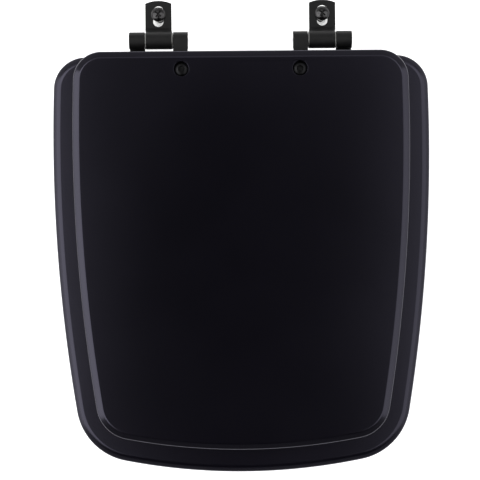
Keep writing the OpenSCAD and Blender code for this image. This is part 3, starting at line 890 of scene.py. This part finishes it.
# %% [markdown]
# ## Pieces that only need their edges eased
# The rest of the hardware already has its true shape in the frame: pins, bushes, pads,
# washers, nuts, screws and buffers. Moulded and turned pieces never have knife edges,
# though, so each is copied, its triangles are joined back into whole faces, and its
# sharp edges are rounded by the amount that its material would have.

# %% Ease a copy
FLAT_WITHIN = math.radians(0.8)


def eased(node, name, width, segments=2):
    """A copy of a piece of the frame with whole faces and rounded edges."""
    piece = bpy.data.objects.new(name, frame["nodes"][node].data.copy())
    piece.data.name = name
    bpy.context.scene.collection.objects.link(piece)
    edit(piece)
    bpy.ops.mesh.select_all(action="SELECT")
    bpy.ops.mesh.remove_doubles(threshold=MERGE_WITHIN)
    bpy.ops.mesh.dissolve_limited(angle_limit=FLAT_WITHIN)
    bpy.ops.object.mode_set(mode="OBJECT")
    round_edges(piece, width, segments)
    return piece


print("flat faces are joined within", round(math.degrees(FLAT_WITHIN), 1), "degrees")

# %% [markdown]
# ### Hardware in pairs
# Each hinge has one pin, a nylon bush at each side of its middle knuckle, and a white rubber
# pad below its tab. Below the bowl's shelf, a rubber cone, a steel washer and a moulded wing
# nut clamp the bolt. The rounding follows the making: turned steel is only eased, and
# moulded rubber and nylon are rounder.

# %% Pins, bushes, pads and clamps, one for each side
HARDWARE = [  # node, piece, body, finish, rounding in millimetres
    ("hinge_pin_{}", "pin_{}", "brackets", "pin_steel", 0.25),
    ("bracket_bushes_{}", "middle_bushes_{}", "brackets", "bush_nylon", 0.15),
    ("base_gasket_{}", "tab_pad_{}", "brackets", "pale_rubber", 0.35),
    ("cone_washer_{}", "rubber_cone_{}", "clamp_{}", "pale_rubber", 0.6),
    ("steel_washer_{}", "flat_washer_{}", "clamp_{}", "zinc_steel", 0.25),
    ("wing_nut_{}", "thumb_nut_{}", "clamp_{}", "nut_nylon", 0.8),
]
for node, name, body, finish, width in HARDWARE:
    for side in ("left", "right"):
        piece = eased(node.format(side), name.format(side), width * MM)
        fit(piece, body.format(side), finish, node.format(side))

# %% [markdown]
# ### Hardware in sets
# The bushes in the other knuckles, the wood screws, and the rubber feet and pads are sets:
# one piece of the frame holds all of a kind, so a whole set is eased at once. The feet under
# the ring are thick and soft, with a large round, and the pads under the lid are thin.

# %% Sets that are one piece of the frame
SETS = [  # node, piece, body, finish, rounding in millimetres
    ("lid_leaf_bushes", "lid_knuckle_bushes", "lid", "bush_nylon", 0.15),
    ("ring_leaf_bushes", "ring_knuckle_bushes", "ring", "bush_nylon", 0.15),
    ("lid_leaf_screws", "lid_wood_screws", "lid", "zinc_steel", 0.08),
    ("ring_leaf_screws", "ring_wood_screws", "ring", "zinc_steel", 0.08),
    ("ring_buffer_screws", "buffer_wood_screws", "ring", "zinc_steel", 0.08),
    ("ring_buffers_front", "front_rubber_feet", "ring", "black_rubber", 1.4),
    ("ring_buffers_back", "back_rubber_feet", "ring", "black_rubber", 1.4),
    ("lid_buffers_front", "front_lid_pads", "lid", "black_rubber", 0.5),
    ("lid_buffers_side", "side_lid_pads", "lid", "black_rubber", 0.5),
]
for node, name, body, finish, width in SETS:
    fit(eased(node, name, width * MM), body, finish, node)

# %% [markdown]
# ## Floor, light and camera
# Black lacquer has hardly any colour of its own: what shows is what it mirrors. The floor
# is a white sweep that glows, and the room is pale all round and dark straight above. A
# large soft box hangs at each side, the left one brighter, and a weak one at the back. The
# sloped rims mirror the boxes. The flat tops mirror the dark between them, and because the
# satin coat blurs it, they grade from near black in the middle to lighter at the sides.

# %% Floor
FLOOR_GAP = 1 * MM
FLOOR_SIZE = 40.0


def make_floor():
    """A plain white sweep just under the lowest bolt, bright enough to hold no shadow."""
    clear_selection()
    bpy.ops.mesh.primitive_plane_add(size=FLOOR_SIZE, location=(0, 0, cad_box[0].z - FLOOR_GAP))
    floor = bpy.context.object
    floor.name = "floor"
    white = bpy.data.materials.new("white sweep")
    white.use_nodes = True
    shader = white.node_tree.nodes["Principled BSDF"]
    shader.inputs["Base Color"].default_value = (0.8, 0.8, 0.8, 1)
    shader.inputs["Roughness"].default_value = 0.9
    shader.inputs["Emission Color"].default_value = (1, 1, 1, 1)
    shader.inputs["Emission Strength"].default_value = 0.9
    floor.data.materials.append(white)
    floor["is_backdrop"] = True


make_floor()
print("floor at", round((cad_box[0].z - FLOOR_GAP) / MM, 1), "mm, where the bowl's top is at 0")

# %% [markdown]
# A soft box is a wide area light. What the lacquer mirrors is its radiance, which doesn't
# change with distance, so each box is given by its radiance, and its power is worked out
# as radiance times pi times area.

# %% Soft boxes
SEAT_MIDDLE = Vector((0, -0.21, 0.03))


def soft_box(name, place, size, radiance):
    """An area light that faces the middle of the seat, as bright as its radiance says."""
    data = bpy.data.lights.new(name, "AREA")
    data.shape = "RECTANGLE"
    data.size, data.size_y = size
    data.energy = radiance * math.pi * size[0] * size[1]
    light = bpy.data.objects.new(name, data)
    bpy.context.scene.collection.objects.link(light)
    light.location = place
    light.visible_camera = False
    aim = SEAT_MIDDLE - Vector(place)
    light.rotation_euler = aim.to_track_quat("-Z", "Y").to_euler()


BOXES = [  # name, place, size, radiance
    ("left box", (-0.99, -0.25, 1.07), (1.68, 1.5), 2.2),
    ("right box", (0.96, -0.25, 1.10), (1.72, 1.5), 1.26),
    ("back box", (0.0, 0.74, 1.31), (2.4, 1.15), 0.6),
]
for box in BOXES:
    soft_box(*box)
print(len(BOXES), "soft boxes")

# %% [markdown]
# The room is a world whose strength depends on direction: Generated gives it, with Z from
# -1 straight down to 1 straight up, and Y from -1 in front to 1 behind. One fade goes round
# the room, one keeps it pale low down, so that the horizon shows nowhere, and one
# darkens it towards the top.

# %% Room
FRONT_TO_BACK = (-0.9, 0.1)
PALE_TO_DIM = (0.09, 0.18)
LEVEL_TO_TOP = (0.0, 0.62)


def make_room(overhead, horizon, front):
    """A room that is pale round the horizon, dimmer above it in front, and dark overhead."""
    world = bpy.data.worlds.new("room")
    bpy.context.scene.world = world
    world.use_nodes = True
    nodes, links = world.node_tree.nodes, world.node_tree.links
    where = nodes.new("ShaderNodeTexCoord")
    parts = nodes.new("ShaderNodeSeparateXYZ")
    links.new(where.outputs["Generated"], parts.inputs["Vector"])

    def fade(source, span, at_start, at_end):
        """Goes smoothly from one strength to another. Each is a number or another fade."""
        step = nodes.new("ShaderNodeMapRange")
        step.interpolation_type = "SMOOTHSTEP"
        step.inputs["From Min"].default_value = span[0]
        step.inputs["From Max"].default_value = span[1]
        links.new(source, step.inputs["Value"])
        for socket, strength in (("To Min", at_start), ("To Max", at_end)):
            if isinstance(strength, float):
                step.inputs[socket].default_value = strength
            else:
                links.new(strength, step.inputs[socket])
        return step.outputs["Result"]

    around = fade(parts.outputs["Y"], FRONT_TO_BACK, front, horizon)
    low = fade(parts.outputs["Z"], PALE_TO_DIM, horizon, around)
    up = fade(parts.outputs["Z"], LEVEL_TO_TOP, low, overhead)
    links.new(up, nodes["Background"].inputs["Strength"])
    nodes["Background"].inputs["Color"].default_value = (1, 1, 1, 1)
    print(f"room: {horizon} round the horizon, {front} in front, {overhead} overhead")


make_room(overhead=0.02, horizon=1.1, front=0.35)

# %% [markdown]
# The camera hangs over the seat's middle, 1.3 metres above the hinge tabs, and looks
# straight down through a long lens, so that hardly any of the sides shows. It is turned by
# less than half a degree. Tones are shown as they are, with no film curve, so that white
# is white.

# %% Camera
CAMERA_HEIGHT = 1.3
CAMERA_X = -1.9 * MM
CAMERA_Y = -213.8 * MM
CAMERA_TURN = math.radians(-0.45)
LENS = 103.06
SENSOR = 36
camera_data = bpy.data.cameras.new("camera")
camera_data.lens = LENS
camera_data.sensor_width = SENSOR
camera = bpy.data.objects.new("camera", camera_data)
bpy.context.scene.collection.objects.link(camera)
camera.location = (CAMERA_X, CAMERA_Y, CAMERA_HEIGHT + bracket_low.z + STRIP)
camera.rotation_euler = (0, 0, CAMERA_TURN)
bpy.context.scene.camera = camera
bpy.context.scene.view_settings.view_transform = "Standard"
bpy.context.scene.view_settings.look = "None"
print("camera at", [round(c / MM, 1) for c in camera.location], "mm, lens", LENS)

# %% [markdown]
# The box of the finished object and the box of the frame it was built around are both
# printed, side by side. The finished object may not be larger than the frame it was
# built around.

# %% Print the two boxes
shown_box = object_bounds()
sizes = {
    "cad_low": list(cad_box[0]), "cad_high": list(cad_box[1]),
    "visual_low": list(shown_box[0]), "visual_high": list(shown_box[1])}
for name, corner in sizes.items():
    print(name, [round(c / MM, 2) for c in corner])
